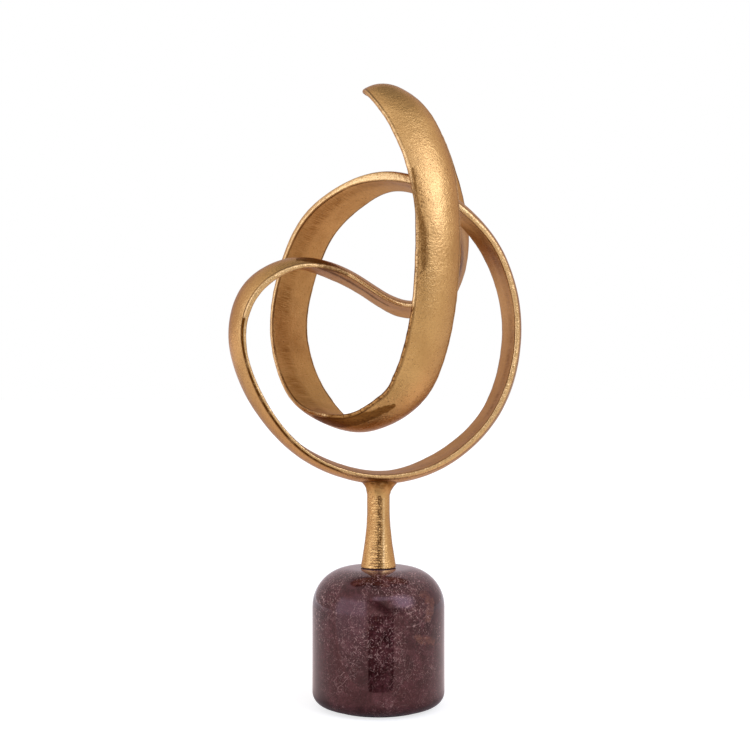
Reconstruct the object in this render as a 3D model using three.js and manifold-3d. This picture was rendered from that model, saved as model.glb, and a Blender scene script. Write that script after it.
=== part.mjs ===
// Marble knot sculpture.
// A cast metal ribbon runs in one closed, looping knot. The lowest point of the ribbon
// is welded to a tapered stem, and a stud and nut hold the stem down on a marble base.
// Millimetres, +Z up. The origin is on the table, under the middle of the base, and the
// front of the sculpture faces -Y.

import * as THREE from 'three';
import { mergeVertices } from 'three/addons/utils/BufferGeometryUtils.js';
import loadManifold from 'manifold-3d';

// Marble base: a round-shouldered drum with a bore, and a recess for the nut below.
const BASE_RADIUS = 50;
const BASE_HEIGHT = 102.5;
const BASE_SHOULDER = 29;        // radius of the upper edge
const BASE_TOE = 11;             // radius of the lower edge
const BORE_CLEARANCE = 1.5;      // around the stud
const RECESS_CLEARANCE = 3;      // around the flat washer
const RECESS_DEPTH = 24;

// Felt pad under the base.
const FELT_THICKNESS = 1.5;
const FELT_MARGIN = 2;           // set in from the rounded lower edge

// Stem: wide at the foot, a plain round neck above the taper.
const STEM_HEIGHT = 61;          // from the foot to the underside of the ribbon
const STEM_FOOT_RADIUS = 13.4;
const STEM_NECK_RADIUS = 8.6;
const STEM_TAPER = 40;           // height of the taper
const STEM_TAPER_POWER = 1.6;    // how fast the foot draws in
const TAPPED_DEPTH = 30;         // hole for the stud in the stem's foot

// Weld fillet between the stem and the ribbon.
const WELD_HEIGHT = 8;           // below the underside of the ribbon
const WELD_LIP = 2.2;            // how far its edge climbs round the ribbon
const WELD_REACH = 13;           // how far it spreads along the ribbon
const WELD_SIDE_REACH = 3.5;     // how far it spreads across the ribbon
const WELD_SKIN = 0.6;           // thickness of its lower edge

// Fasteners in the recess and at the stem's foot.
const STUD_RADIUS = 4;
const STUD_TAIL = 4;             // stud left proud below the nut
const STUD_CHAMFER = 0.8;
const NUT_WALL = 2.5;            // from the thread to the nut's flats
const NUT_HEIGHT = 6.5;
const NUT_CHAMFER = 0.8;
const WASHER_BORDER = 8;
const WASHER_THICKNESS = 2;
const SPRING_BAR = 3;            // width of the spring washer's bar
const SPRING_THICKNESS = 2;
const SPRING_SPLIT = 0.25;       // open angle of the spring washer, radians
const SEAT_THICKNESS = 0.7;      // washer between the stem and the marble
const SEAT_INSET = 0.6;          // inside the stem's foot

// Ribbon: crowned outside, flat inside, with a rounded rim on both edges.
const RIBBON_WIDTH = 37;
const CROWN_WIDTH = 31;          // where it turns over at the top of the knot
const RIBBON_CROWN = 7.6;        // outer face above the path
const RIBBON_INSIDE = 1.2;       // inner face below the path
const RIM_THICKNESS = 3.6;
const LOOP_RIM = 5.4;            // heavier rim over the top of the inner loop
const RIM_ROUND = 1;             // outer corner of the rim
const RIM_EDGE = 0.8;            // inner corner of the rim
const STRAND_GAP = 10;           // between the bridge and the rear strand behind it

// Spaces between pieces.
const SEAT_GAP = 0.3;            // pieces that bear on each other
const WELD_GAP = 0.3;            // castings that meet end to end

// Fineness of the round forms.
const ROUND_STEPS = 48;
const FASTENER_STEPS = 24;
const ARC_STEPS = 8;
const TAPER_STEPS = 8;
const RINGS_PER_SPAN = 6;
const SMOOTHING_PASSES = 3;

// Heights of the stack.
const BASE_BOTTOM = FELT_THICKNESS + SEAT_GAP;
const BASE_TOP = BASE_BOTTOM + BASE_HEIGHT;
const RECESS_TOP = BASE_BOTTOM + RECESS_DEPTH;
const SEAT_BOTTOM = BASE_TOP + SEAT_GAP;
const STEM_FOOT = SEAT_BOTTOM + SEAT_THICKNESS + SEAT_GAP;
const STEM_TOP = STEM_FOOT + STEM_HEIGHT;
const KNOT_FOOT = STEM_TOP + RIBBON_CROWN;
const WASHER_BOTTOM = RECESS_TOP - SEAT_GAP - WASHER_THICKNESS;
const SPRING_BOTTOM = WASHER_BOTTOM - SEAT_GAP - SPRING_THICKNESS;
const NUT_BOTTOM = SPRING_BOTTOM - SEAT_GAP - NUT_HEIGHT;
const STUD_BOTTOM = NUT_BOTTOM - STUD_TAIL;
const STUD_TOP = STEM_FOOT + TAPPED_DEPTH - SEAT_GAP;

// Radii that follow the stud.
const THREAD_RADIUS = STUD_RADIUS + SEAT_GAP;
const BORE_RADIUS = STUD_RADIUS + BORE_CLEARANCE;
const WASHER_RADIUS = STUD_RADIUS + WASHER_BORDER;
const RECESS_RADIUS = WASHER_RADIUS + RECESS_CLEARANCE;

// The ribbon's path, as stations measured from the foot of the knot. Each gives the
// middle of the ribbon, the way across it from its front or left edge to its back or
// right edge, and its width there, with its rim where that is heavier. The path is closed,
// from the crown down the front blade, round the inner loop, round the outer hoop, and up
// the rear strand.
const BRIDGE_DEPTH = 2;
const REAR_DEPTH = BRIDGE_DEPTH + RIBBON_WIDTH + STRAND_GAP;
const NECK_WIDTH = (RIBBON_WIDTH + CROWN_WIDTH) / 2;
const STATIONS = [
  { name: 'crown', at: [3, -4, 287], across: [36, 0, -6], width: CROWN_WIDTH },
  { name: 'crown_front', at: [6.2, -18, 284.5], across: [32, 12, 4], width: CROWN_WIDTH },
  { name: 'blade_shoulder', at: [24, -36, 261.8], across: [27, 19, 14], width: RIBBON_WIDTH },
  { name: 'blade_upper', at: [39.5, -52, 219], across: [32, 19, 5], width: RIBBON_WIDTH },
  { name: 'blade_belly', at: [42, -60, 163.5], across: [32, 18, 0], width: RIBBON_WIDTH },
  { name: 'blade_lower', at: [37, -58, 110.5], across: [30, 19, -4], width: RIBBON_WIDTH },
  { name: 'blade_turn', at: [25, -48, 71], across: [25, 21, -11], width: RIBBON_WIDTH },
  { name: 'loop_heel', at: [6, -36, 50], across: [16, 28, -14], width: RIBBON_WIDTH },
  { name: 'loop_bottom', at: [-21.5, -18, 40.5], across: [9, 33, -9], width: RIBBON_WIDTH },
  { name: 'loop_lower', at: [-53.5, 14, 59], across: [25, 28, 7], width: RIBBON_WIDTH },
  { name: 'loop_left', at: [-71.5, 44, 115.5], across: [27, 26, 0], width: RIBBON_WIDTH },
  { name: 'loop_upper', at: [-54, 44, 181], across: [27, 26, -5], width: RIBBON_WIDTH, rim: LOOP_RIM },
  { name: 'loop_rise', at: [-31.5, 30, 206.5], across: [15, 32, -13], width: RIBBON_WIDTH, rim: LOOP_RIM },
  { name: 'loop_top', at: [7.5, 12, 223.5], across: [4, 36, -6], width: RIBBON_WIDTH, rim: LOOP_RIM },
  { name: 'bridge', at: [46.5, BRIDGE_DEPTH, 209.5], across: [0, 36, -3], width: RIBBON_WIDTH },
  { name: 'hoop_shoulder', at: [85.5, 12, 172], across: [-8, 36, -3], width: RIBBON_WIDTH },
  { name: 'hoop_right', at: [102.5, 20, 114.5], across: [-8, 36, 0], width: RIBBON_WIDTH },
  { name: 'hoop_lower_right', at: [88, 14, 51], across: [-8, 36, 0], width: RIBBON_WIDTH },
  { name: 'hoop_bottom_right', at: [47.5, 6, 12.5], across: [-6, 36, 4], width: RIBBON_WIDTH },
  { name: 'foot', at: [0, 0, 0], across: [0, 36, 0], width: RIBBON_WIDTH },
  { name: 'hoop_bottom_left', at: [-54, -8, 18], across: [-6, 36, 2], width: RIBBON_WIDTH },
  { name: 'hoop_lower_left', at: [-90.5, -16, 60], across: [-10, 34, 0], width: RIBBON_WIDTH },
  { name: 'hoop_left', at: [-104, -22, 106], across: [-11, 33, 0], width: RIBBON_WIDTH },
  { name: 'hoop_top_left', at: [-93, -22, 140], across: [-10, 33, 7], width: RIBBON_WIDTH },
  { name: 'swan_start', at: [-63, -14, 157], across: [-4, 35, 4], width: RIBBON_WIDTH },
  { name: 'swan_middle', at: [-27.5, -4, 149.5], across: [2, 36, -8], width: RIBBON_WIDTH },
  { name: 'swan_low', at: [16.5, 8, 124.5], across: [4, 36, -7], width: RIBBON_WIDTH },
  { name: 'swan_bend', at: [51.5, REAR_DEPTH - 22, 132.5], across: [6, 35, -2], width: RIBBON_WIDTH },
  { name: 'rear_low', at: [66.5, REAR_DEPTH - 9, 164.5], across: [7, 35, 0], width: RIBBON_WIDTH },
  { name: 'rear_middle', at: [63, REAR_DEPTH, 205], across: [14, 32, 7], width: RIBBON_WIDTH },
  { name: 'rear_high', at: [43.2, REAR_DEPTH - 6, 246], across: [22, 12, 16], width: NECK_WIDTH },
  { name: 'arch', at: [27.9, REAR_DEPTH - 22, 266.5], across: [22, -17, 9], width: CROWN_WIDTH },
  { name: 'crown_rear', at: [9.5, 12, 283.5], across: [34, -10, -13], width: CROWN_WIDTH },
];

// The ribbon is cast in four open lengths that are butt-welded at these stations.
const CASTINGS = [
  { name: 'blade_casting', from: 'arch', to: 'blade_turn' },
  { name: 'inner_loop_casting', from: 'blade_turn', to: 'bridge' },
  { name: 'outer_hoop_casting', from: 'bridge', to: 'swan_bend' },
  { name: 'rear_strand_casting', from: 'swan_bend', to: 'arch' },
];

const wasm = await loadManifold();
wasm.setup();

// Finishes

function metal(color, roughness) {
  return new THREE.MeshStandardMaterial({ color, roughness, metalness: 1 });
}

function dull(color, roughness) {
  return new THREE.MeshStandardMaterial({ color, roughness, metalness: 0 });
}

// Solids

function toSolid(geometry) {
  const bare = geometry.clone();
  bare.deleteAttribute('normal');
  bare.deleteAttribute('uv');
  const merged = mergeVertices(bare);
  const vertProperties = Float32Array.from(merged.attributes.position.array);
  const triVerts = Uint32Array.from(merged.index.array);
  return new wasm.Manifold(new wasm.Mesh({ numProp: 3, vertProperties, triVerts }));
}

function toGeometry(solid) {
  const mesh = solid.getMesh();
  const geometry = new THREE.BufferGeometry();
  geometry.setAttribute('position', new THREE.BufferAttribute(mesh.vertProperties, 3));
  geometry.setIndex(new THREE.BufferAttribute(mesh.triVerts, 1));
  geometry.computeVertexNormals();
  return geometry;
}

// A turned form about +Z from [radius, height] points that run up its outside.
function turned(profile, steps) {
  const points = profile.map(([radius, height]) => new THREE.Vector2(radius, height));
  return new THREE.LatheGeometry(points, steps).rotateX(Math.PI / 2);
}

function ring(inner, outer, bottom, thickness, steps) {
  const top = bottom + thickness;
  return turned([[inner, bottom], [outer, bottom], [outer, top], [inner, top], [inner, bottom]], steps);
}

// Points of a quarter circle about [radius, height], between two angles.
function arc(centre, radius, start, end) {
  return Array.from({ length: ARC_STEPS + 1 }, (_, step) => {
    const angle = start + (end - start) * step / ARC_STEPS;
    return [centre[0] + radius * Math.cos(angle), centre[1] + radius * Math.sin(angle)];
  });
}

// Ribbon

// The section, counted round from the front rim over the crown to the back rim and home
// along the inside. Each point is [across, outward].
function sectionOutline(width, rim) {
  const half = width / 2;
  const rimTop = rim - RIBBON_INSIDE;
  const reach = half - RIM_ROUND;
  const rise = RIBBON_CROWN - rimTop;
  const radius = (reach * reach + rise * rise) / (2 * rise);
  const spread = Math.asin(reach / radius);
  const crown = arc([0, RIBBON_CROWN - radius], radius, Math.PI / 2 + spread, Math.PI / 2 - spread);
  const backRim = [
    [half, rimTop - RIM_ROUND],
    [half, RIM_EDGE - RIBBON_INSIDE],
    [half - RIM_EDGE, -RIBBON_INSIDE],
  ];
  const frontRim = backRim.map(([across, outward]) => [-across, outward]).reverse();
  return [...crown, ...backRim, [0, -RIBBON_INSIDE], ...frontRim];
}

// A closed curve through one value of every station, sampled and smoothed.
function followed(values) {
  const curve = new THREE.CatmullRomCurve3(values, true, 'centripetal');
  const count = values.length * RINGS_PER_SPAN;
  let points = Array.from({ length: count }, (_, step) => curve.getPoint(step / count));
  for (let pass = 0; pass < SMOOTHING_PASSES; pass += 1) {
    points = points.map((point, index) => {
      const before = points[(index + count - 1) % count];
      const after = points[(index + 1) % count];
      return before.clone().add(after).addScaledVector(point, 2).divideScalar(4);
    });
  }
  return points;
}

// Every ring of the whole ribbon, with the direction of travel at each.
function ribbonRings() {
  const path = followed(STATIONS.map(({ at }) => new THREE.Vector3(...at)));
  const sides = followed(STATIONS.map(({ across }) => new THREE.Vector3(...across)));
  const sizes = followed(STATIONS.map(({ width, rim = RIM_THICKNESS }) => new THREE.Vector3(width, rim, 0)));
  const count = path.length;
  return path.map((middle, index) => {
    const along = path[(index + 1) % count].clone().sub(path[(index + count - 1) % count]).normalize();
    const across = sides[index].clone().addScaledVector(along, -sides[index].dot(along)).normalize();
    const outward = along.clone().cross(across);
    const points = sectionOutline(sizes[index].x, sizes[index].y).map(([u, v]) => (
      middle.clone().addScaledVector(across, u).addScaledVector(outward, v)
    ));
    return { along, points };
  });
}

// One open length of the ribbon, with flat ends drawn back for the weld.
function castingGeometry(rings, from, to) {
  const indexOf = (name) => STATIONS.findIndex((station) => station.name === name) * RINGS_PER_SPAN;
  const first = indexOf(from);
  const length = (indexOf(to) - first + rings.length) % rings.length;
  const lengths = Array.from({ length: length + 1 }, (_, step) => {
    const { along, points } = rings[(first + step) % rings.length];
    const shift = step === 0 ? WELD_GAP / 2 : step === length ? -WELD_GAP / 2 : 0;
    return points.map((point) => point.clone().addScaledVector(along, shift));
  });
  const sides = lengths[0].length;
  const corner = (ringIndex, side) => ringIndex * sides + (side % sides);
  const faces = [];
  for (let step = 0; step < length; step += 1) {
    for (let side = 0; side < sides; side += 1) {
      const [a, b] = [corner(step, side), corner(step + 1, side)];
      const [c, d] = [corner(step + 1, side + 1), corner(step, side + 1)];
      faces.push(a, b, c, a, c, d);
    }
  }
  for (let side = 1; side < sides - 1; side += 1) {
    faces.push(corner(0, 0), corner(0, side), corner(0, side + 1));
    faces.push(corner(length, 0), corner(length, side + 1), corner(length, side));
  }
  const geometry = new THREE.BufferGeometry().setFromPoints(lengths.flat());
  geometry.setIndex(faces);
  geometry.translate(0, 0, KNOT_FOOT);
  geometry.computeVertexNormals();
  return geometry;
}

// Stem and weld

// The ribbon where it sits on the stem, lowered by the gap that the weld leaves.
function seatCutter(hoop) {
  return toSolid(hoop.clone().translate(0, 0, -SEAT_GAP));
}

function stemRadius(height) {
  const left = Math.max(0, 1 - height / STEM_TAPER);
  return STEM_NECK_RADIUS + (STEM_FOOT_RADIUS - STEM_NECK_RADIUS) * left ** STEM_TAPER_POWER;
}

function stemGeometry(cutter) {
  const tapped = STEM_FOOT + TAPPED_DEPTH;
  const profile = [[0, tapped], [THREAD_RADIUS, tapped], [THREAD_RADIUS, STEM_FOOT]];
  for (let step = 0; step <= TAPER_STEPS; step += 1) {
    const height = STEM_TAPER * step / TAPER_STEPS;
    profile.push([stemRadius(height), STEM_FOOT + height]);
  }
  profile.push([STEM_NECK_RADIUS, KNOT_FOOT], [0, KNOT_FOOT]);
  return toGeometry(toSolid(turned(profile, ROUND_STEPS)).subtract(cutter));
}

// The fillet is turned to its reach along the ribbon, then drawn in across the ribbon.
function weldGeometry(cutter) {
  const inside = STEM_NECK_RADIUS + SEAT_GAP;
  const collar = inside + WELD_SKIN;
  const bottom = STEM_TOP - WELD_HEIGHT;
  const fillet = arc([1, 0], 1, Math.PI, Math.PI / 2).map(([out, up]) => (
    [collar + WELD_REACH * out, bottom + (WELD_HEIGHT + WELD_LIP) * up]
  ));
  const edge = collar + WELD_REACH;
  const flare = turned([
    [inside, bottom],
    ...fillet,
    [edge, KNOT_FOOT],
    [inside, KNOT_FOOT],
    [inside, bottom],
  ], ROUND_STEPS);
  const spots = flare.attributes.position;
  for (let index = 0; index < spots.count; index += 1) {
    const [x, y] = [spots.getX(index), spots.getY(index)];
    const radius = Math.hypot(x, y);
    const share = radius / Math.hypot(x, y * WELD_REACH / WELD_SIDE_REACH);
    const drawn = radius > collar ? collar + (radius - collar) * share : radius;
    spots.setXY(index, x * drawn / radius, y * drawn / radius);
  }
  return toGeometry(toSolid(flare).subtract(cutter));
}

// Base and fasteners

function baseGeometry() {
  const toeCentre = [BASE_RADIUS - BASE_TOE, BASE_BOTTOM + BASE_TOE];
  const shoulderCentre = [BASE_RADIUS - BASE_SHOULDER, BASE_TOP - BASE_SHOULDER];
  const toe = arc(toeCentre, BASE_TOE, -Math.PI / 2, 0);
  const shoulder = arc(shoulderCentre, BASE_SHOULDER, 0, Math.PI / 2);
  const bore = [
    [BORE_RADIUS, BASE_TOP],
    [BORE_RADIUS, RECESS_TOP],
    [RECESS_RADIUS, RECESS_TOP],
    [RECESS_RADIUS, BASE_BOTTOM],
  ];
  return turned([...toe, ...shoulder, ...bore, toe[0]], ROUND_STEPS);
}

function studGeometry() {
  const tip = STUD_RADIUS - STUD_CHAMFER;
  return turned([
    [0, STUD_BOTTOM],
    [tip, STUD_BOTTOM],
    [STUD_RADIUS, STUD_BOTTOM + STUD_CHAMFER],
    [STUD_RADIUS, STUD_TOP - STUD_CHAMFER],
    [tip, STUD_TOP],
    [0, STUD_TOP],
  ], FASTENER_STEPS);
}

function nutGeometry() {
  const flat = STUD_RADIUS + NUT_WALL;
  const point = flat / Math.cos(Math.PI / 6);
  const outline = new THREE.Shape(Array.from({ length: 6 }, (_, side) => (
    new THREE.Vector2(point * Math.cos(side * Math.PI / 3), point * Math.sin(side * Math.PI / 3))
  )));
  const hole = new THREE.Path().absarc(0, 0, THREAD_RADIUS, 0, 2 * Math.PI, true);
  outline.holes.push(hole);
  const prism = new THREE.ExtrudeGeometry(outline, {
    depth: NUT_HEIGHT,
    bevelEnabled: false,
    curveSegments: FASTENER_STEPS,
  }).translate(0, 0, NUT_BOTTOM);
  const top = NUT_BOTTOM + NUT_HEIGHT;
  const chamfers = turned([
    [0, NUT_BOTTOM],
    [flat, NUT_BOTTOM],
    [point, NUT_BOTTOM + NUT_CHAMFER],
    [point, top - NUT_CHAMFER],
    [flat, top],
    [0, top],
  ], FASTENER_STEPS);
  return toGeometry(toSolid(prism).intersect(toSolid(chamfers)));
}

function springWasherGeometry() {
  const start = SPRING_SPLIT / 2;
  const end = 2 * Math.PI - start;
  const outline = new THREE.Shape().absarc(0, 0, THREAD_RADIUS + SPRING_BAR, start, end, false);
  outline.absarc(0, 0, THREAD_RADIUS, end, start, true);
  return new THREE.ExtrudeGeometry(outline, {
    depth: SPRING_THICKNESS,
    bevelEnabled: false,
    curveSegments: FASTENER_STEPS,
  }).translate(0, 0, SPRING_BOTTOM);
}

function feltGeometry() {
  const radius = BASE_RADIUS - BASE_TOE - FELT_MARGIN;
  return turned([[0, 0], [radius, 0], [radius, FELT_THICKNESS], [0, FELT_THICKNESS]], ROUND_STEPS);
}

// Assembly

const GOLD = '#b98645';
const WELD_BROWN = '#8f6433';
const STEEL = '#9a9a98';
const MARBLE = '#574440';
const RUBBER = '#1d1713';
const FELT = '#15120f';

const sculpture = new THREE.Group();

function place(group, name, geometry, material) {
  const mesh = new THREE.Mesh(geometry, material);
  mesh.name = name;
  group.add(mesh);
  return mesh;
}

const base = new THREE.Group();
place(base, 'marble_base', baseGeometry(), dull(MARBLE, 0.2));
place(base, 'felt_pad', feltGeometry(), dull(FELT, 1));
const seatRadius = STEM_FOOT_RADIUS - SEAT_INSET;
const seat = ring(BORE_RADIUS, seatRadius, SEAT_BOTTOM, SEAT_THICKNESS, ROUND_STEPS);
place(base, 'seat_washer', seat, dull(RUBBER, 0.8));
sculpture.add(base);

const knot = new THREE.Group();
const rings = ribbonRings();
const castings = CASTINGS.map(({ name, from, to }) => (
  place(knot, name, castingGeometry(rings, from, to), metal(GOLD, 0.35))
));
const hoop = castings.find(({ name }) => name === 'outer_hoop_casting').geometry;
place(knot, 'stem', stemGeometry(seatCutter(hoop)), metal(GOLD, 0.4));
place(knot, 'stem_weld', weldGeometry(seatCutter(hoop)), metal(WELD_BROWN, 0.5));
sculpture.add(knot);

const fastening = new THREE.Group();
place(fastening, 'threaded_stud', studGeometry(), metal(STEEL, 0.4));
const washer = ring(THREAD_RADIUS, WASHER_RADIUS, WASHER_BOTTOM, WASHER_THICKNESS, FASTENER_STEPS);
place(fastening, 'flat_washer', washer, metal(STEEL, 0.4));
place(fastening, 'spring_washer', springWasherGeometry(), metal(STEEL, 0.45));
place(fastening, 'hex_nut', nutGeometry(), metal(STEEL, 0.4));
sculpture.add(fastening);

export default sculpture;
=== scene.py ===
import math
from contextlib import contextmanager
from functools import partial, reduce
from itertools import pairwise

import bmesh
import bpy
from bpy.props import FloatProperty, FloatVectorProperty, IntProperty, PointerProperty
from bpy.types import NodeSocket, Operator, Panel, PropertyGroup
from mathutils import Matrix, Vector


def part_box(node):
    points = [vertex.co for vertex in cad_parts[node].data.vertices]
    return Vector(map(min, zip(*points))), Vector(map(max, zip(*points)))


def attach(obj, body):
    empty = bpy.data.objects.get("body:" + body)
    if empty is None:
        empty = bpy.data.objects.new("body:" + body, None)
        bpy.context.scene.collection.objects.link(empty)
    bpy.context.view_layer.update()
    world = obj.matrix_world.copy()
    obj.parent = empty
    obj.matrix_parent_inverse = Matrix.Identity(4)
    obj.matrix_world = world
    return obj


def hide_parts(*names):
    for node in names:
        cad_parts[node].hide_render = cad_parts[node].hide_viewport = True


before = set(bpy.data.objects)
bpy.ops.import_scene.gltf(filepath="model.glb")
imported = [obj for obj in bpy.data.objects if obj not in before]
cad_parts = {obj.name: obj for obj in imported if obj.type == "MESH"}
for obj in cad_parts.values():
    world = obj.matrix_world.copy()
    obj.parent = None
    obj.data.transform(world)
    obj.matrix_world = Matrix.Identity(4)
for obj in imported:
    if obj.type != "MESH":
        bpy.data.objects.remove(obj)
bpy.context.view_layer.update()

bl_info = {
    "name": "Knot Sculpture Finisher",
    "version": (1, 0, 0),
    "blender": (4, 5, 0),
    "location": "View3D > Sidebar > Knot",
    "description": "Finishes a cast knot on a marble base and sets a soft studio around it",
    "category": "Object",
}

MM = 0.001
COPY_MERGE = 0.02 * MM
TURN_MERGE = 0.01 * MM
SHARP_EDGE = math.radians(40)
LEVEL_VIEW = (math.pi / 2, 0, 0)
NODE_STEP = 180
WHITE = (1, 1, 1)

CASTINGS = ("blade_casting", "inner_loop_casting", "outer_hoop_casting", "rear_strand_casting")
FASTENERS = ("threaded_stud", "flat_washer", "spring_washer", "hex_nut")

# Columns of corners on the ribbon's two rims, counted from the middle of its inside.
RIM_COLUMNS = (2, 3, -3, -2)

# Streaks on the knot, in millimetres: points of a line, each with its reach. The finish is brown along
# the first lines, partly stains and partly painted shade under the hoop by the weld and on the rear strand.
# It is black along the second, as painted shade and painted dark reflections. The edge is crumpled along
# the third and browned there as painted shade, and the rims are dark along the fourth and dirty along the
# fifth. Along the last line the finish is matt, and browned as painted shade.
BROWN_STREAKS = (
    ((11, -50, 227.5, 3), (5, -48.5, 225, 6), (-3, -46, 221.5, 7), (-11, -42.5, 218.5, 8),
     (-21, -36, 216, 10), (-32, -27, 214, 11), (-45, -15, 216, 9)),
    ((-58, -24, 336, 6), (-48, -23, 335, 9), (-37, -24, 332, 9), (-24, -24, 325, 5)),
    ((65, 32, 346, 3), (64, 28, 338, 6), (62, 23, 328, 9)),
    ((-8, -8, 168, 10), (8, -8, 168, 10)),
)
# Painted shade and painted dark reflections: down the blade's left edge, under the S-strand's rim and on the
# rear strand.
SHADE_STREAKS = (
    ((24.3, -61, 397, 2), (25.2, -63.5, 387, 4), (26, -65.5, 377, 4), (27.2, -67, 369, 4),
     (29.3, -68, 361, 5), (31.2, -69.2, 352, 7), (32.2, -69.9, 344, 8), (32.3, -70.5, 335, 8),
     (31.8, -70.8, 325, 4)),
    ((-44, -27, 329, 3), (-39.4, -19, 327.7, 7), (-32, -13.5, 325, 8), (-24.7, -10, 321.6, 8),
     (-17.3, -7.2, 317.3, 8), (-9.8, -6.4, 313, 7), (-2.2, -2.5, 308, 6), (7, 1.5, 302.7, 4)),
    ((64.5, 29, 338, 3), (63, 24, 331, 6), (61, 20, 324, 7)),
)
CRUMPLE_AND_SHADE_STREAKS = (((25, -62, 392, 9), (28, -67, 370, 13), (29, -70, 346, 16), (28, -71, 318, 14)),)
DARK_RIMS = (
    ((-99, -39, 286, 8), (-98, -39, 268, 12), (-92, -36, 246, 14), (-81, -32, 223, 14),
     (-68, -27, 203, 14), (-50, -23, 187, 12), (-30, -17, 176, 8)),
)
DIRTY_RIMS = (
    ((22, -67, 290, 14), (17, -64, 268, 16), (10, -58, 243, 14), (0, -52, 231, 14),
     (-15, -44, 222, 14), (-31, -33, 219, 13)),
)
MATT_STREAKS = (((67, 42, 356, 20), (65, 34, 346, 30), (62, 28, 322, 26)),)

# How pitted a gold piece is, and how deep its finest relief.
RIBBON_SKIN, STEM_SKIN, WELD_SKIN = (0.20, 0.18 * MM), (0.17, 0.13 * MM), (0.30, 0.12 * MM)

# Stretches where the front rim is thicker, in millimetres: middle, reach and added thickness.
THICK_RIM = (
    (72, -8, 362, 45, 1.5), (92, -8, 325, 45, 1.6), (98, -8, 285, 45, 1.2), (92, -12, 235, 45, 1.5),
    (72, -16, 203, 45, 1.3), (8, -7, 398, 28, 2.8), (-84, -30, 305, 40, 1.3),
)

# Places on the blade's edge, in millimetres: where it is, how far it is pushed and over what reach.
CORNERS = (
    ((8.3, -57, 242.8), (0.9, 0, -0.7), 9), ((3.8, -55.5, 236.5), (0.9, 0, -0.7), 9),
    ((22.5, -61, 394), (-1.6, 0, -0.4), 32), ((15, -52, 421), (-1.0, 0, -0.6), 26),
)

# Marks in the marble, in millimetres: lines of tan and of dark eyes, and spots that hold long veins.
TAN_STREAKS = (
    ((30, -38, 93, 4), (36, -32, 88, 9), (38, -31, 80, 10), (36, -34, 72, 7)),
    ((27, -42, 60, 4), (32, -38, 57, 7), (39, -30, 54, 6)),
)
EYE_STREAKS = (
    ((41, -26, 80, 3), (40, -28, 74, 2.5)),
    ((35, -35, 68, 2), (36, -34.5, 65, 2.5)),
    ((31, -38, 90, 2), (29, -40, 84, 1.5)),
)
VEIN_SPOTS = ((22, -44, 76, 26), (33, -37, 36, 20), (-24, -44, 30, 18))

# Strokes in the marble: how many to a metre, how wide and how strong.
MARBLE_CHIPS = ((300, 0.24 * MM, 0.55), (460, 0.22 * MM, 0.6), (700, 0.20 * MM, 0.5))


def size(name, description, default):
    return FloatProperty(name=name, description=description, default=default, unit='LENGTH', precision=5)


def share(name, description, default):
    return FloatProperty(name=name, description=description, default=default, subtype='FACTOR', min=0, max=1)


def amount(name, description, default):
    return FloatProperty(name=name, description=description, default=default, min=0)


def count(name, description, default, least=2):
    return IntProperty(name=name, description=description, default=default, min=least)


def colour(name, description, default):
    return FloatVectorProperty(
        name=name, description=description, default=default, subtype='COLOR', min=0, max=1)


def place(name, description, default):
    return FloatVectorProperty(name=name, description=description, default=default, unit='LENGTH')


class KnotMetal(PropertyGroup):
    """The cast ribbon, its stem and the weld between them."""

    gold: colour("Gold", "Finish on the open faces", (0.66, 0.37, 0.135))
    # Brown also paints shade: on the crumpled edge, along some brown streaks, on the matt streak and up the
    # weld.
    brown: colour("Brown", "Finish where it has gathered", (0.32, 0.140, 0.034))
    # Worn is also a painted highlight, on the ribbon's rims and on the stem's ridge.
    worn: colour("Worn", "Finish rubbed back on the rims", (0.76, 0.48, 0.22))
    # Pit colour also paints shade and dark reflections, along the knot's shade streaks and the stem's seam.
    pit_and_shade: colour("Pit", "Bottom of pits and cracks", (0.09, 0.027, 0.002))
    edge: colour("Edge tint", "Share of light that the finish keeps at its edges", (0.66, 0.56, 0.54))
    weld_gap: size("Weld gap", "Space that the butt welds close", 0.35 * MM)
    wobble: size("Wobble", "How uneven the casting is", 0.5 * MM)
    wobble_length: size("Wobble length", "Length of one uneven stretch", 30 * MM)
    rim_lump: size("Rim lump", "Height of the lumps along the rims", 0.7 * MM)
    rim_lump_length: size("Rim lump length", "Length of a lump along the rims", 6 * MM)
    levels: count("Levels", "Smoothing levels of the ribbon", 2, least=0)
    neck: size("Neck", "Radius of the stem's upper part", 8.6 * MM)
    taper: size("Taper", "Height over which the stem's foot draws in", 40 * MM)
    taper_power: amount("Taper power", "How fast the foot draws in", 1.6)
    tapped_gap: size("Tapped gap", "Space round the stud in its tapped hole", 0.3 * MM)
    lip_inset: size("Lip inset", "How far inside the foot's edge its lip starts", 0.4 * MM)
    lip_depth: size("Lip depth", "How far the lip stands down", 0.6 * MM)
    stem_wobble: size("Stem wobble", "How uneven the stem is", 0.5 * MM)
    stem_wobble_length: size("Stem wobble length", "Length of one uneven stretch", 9 * MM)
    weld_height: size("Weld height", "How far the weld runs down the stem", 11 * MM)
    weld_reach: size("Weld reach", "Radius at which the weld meets the ribbon", 16.5 * MM)
    weld_root: size("Weld root", "How far the weld runs into the stem", 1 * MM)
    weld_rise: size("Weld rise", "How far the weld runs into the ribbon", 0.6 * MM)
    weld_lean: size("Weld lean", "How far the weld's top lies to the right", 1.6 * MM)
    hoop_radius: size("Hoop radius", "Bend of the hoop that the weld follows", 88 * MM)
    crown_radius: size("Crown radius", "Bend across the hoop that the weld follows", 32 * MM)
    weld_lump: size("Weld lump", "Height of the lumps on the weld", 0.9 * MM)
    weld_lump_length: size("Weld lump length", "Length of a lump on the weld", 4 * MM)
    segments: count("Segments", "Faces round the stem", 72)
    steps: count("Steps", "Faces along a curve of the stem's or weld's profile", 24)


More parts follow.
